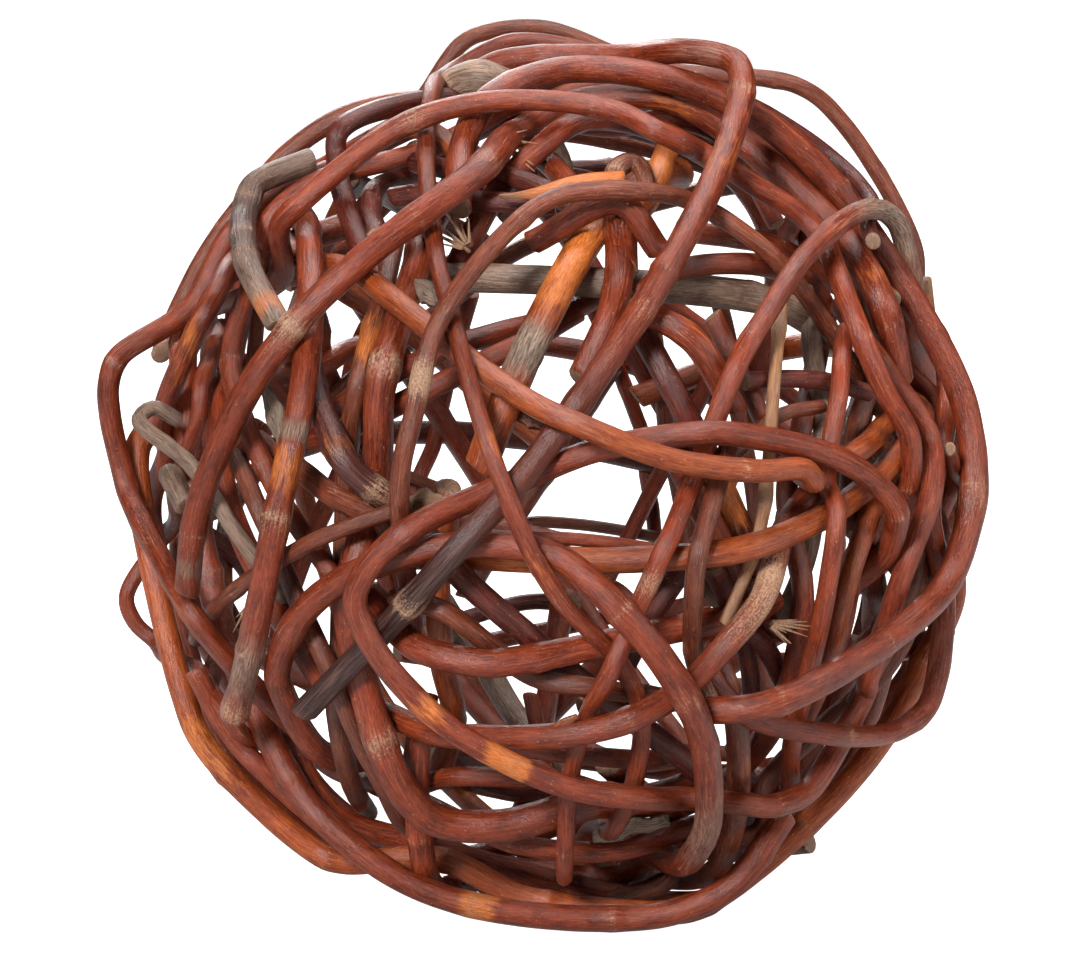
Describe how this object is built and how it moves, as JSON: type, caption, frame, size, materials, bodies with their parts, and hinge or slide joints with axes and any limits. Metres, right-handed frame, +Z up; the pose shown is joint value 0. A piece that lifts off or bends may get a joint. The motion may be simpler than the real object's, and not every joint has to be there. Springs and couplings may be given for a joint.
{
  "type": "decorative wicker ball",
  "caption": "Hollow decorative ball wound from long, bent reddish-brown willow rods that pass over and under each other, open all round.",
  "frame": {"origin": "on the surface that the ball stands on, under the middle of its outline", "axes": "+Z up; the front of the ball looks along -Y, +X is to its right seen from the front; units are metres"},
  "size_m": [0.1474, 0.145, 0.1489],
  "materials": {
    "red_bark": "semi-gloss red-brown willow bark",
    "dark_bark": "semi-gloss purple-black willow bark",
    "orange_bark": "satin orange bark, rubbed",
    "brown_bark": "satin brown bark",
    "grey_bark": "matt weathered grey bark",
    "tan_bark": "matt tan bark"
  },
  "bodies": {
    "root": {"long_diagonal": "red_bark", "upper_arc": "red_bark", "right_outline": "red_bark", "dark_diagonal": "red_bark", "front_wave": "orange_bark", "big_loop": "red_bark", "slim_centre": "red_bark", "slim_mauve": "brown_bark", "right_crook": "red_bark", "top_bow": "brown_bark", "heavy_sweep": "red_bark", "belly_arc": "red_bark", "belly_arc_slim": "brown_bark", "purple_cross": "dark_bark", "thick_bow": "red_bark", "bottom_left_outline": "orange_bark", "bottom_outline": "red_bark", "left_bow": "red_bark", "club_rod": "red_bark", "left_hook": "brown_bark", "kinked_rod": "red_bark", "top_left_outline": "brown_bark", "top_left_arc": "red_bark", "grey_crook": "grey_bark", "left_outline": "red_bark", "left_inner": "red_bark", "left_cut": "brown_bark", "little_crook": "grey_bark", "right_upright": "red_bark", "inner_stick": "orange_bark", "knuckle": "red_bark", "knuckle_leg": "red_bark", "grey_splinter": "grey_bark", "inner_hook": "red_bark", "knot_spur": "red_bark", "purple_inner": "dark_bark", "brown_upright": "brown_bark", "paired_rods": "red_bark", "orange_bar": "orange_bark", "orange_upright": "orange_bark", "lower_right_bow": "red_bark", "slim_upright": "brown_bark", "peeled_bow": "red_bark", "bottom_inner": "red_bark", "bottom_pair": "red_bark", "pale_twig": "tan_bark", "short_twig": "brown_bark", "right_rim": "red_bark", "bottom_kink": "red_bark", "right_inner": "red_bark", "left_slant": "red_bark", "top_upright": "dark_bark", "back_rod_1": "red_bark", "back_rod_2": "red_bark", "back_rod_3": "brown_bark", "back_rod_4": "orange_bark", "back_rod_5": "red_bark", "ground_rod_1": "red_bark", "ground_rod_2": "brown_bark", "ground_rod_3": "red_bark"}
  },
  "joints": []
}
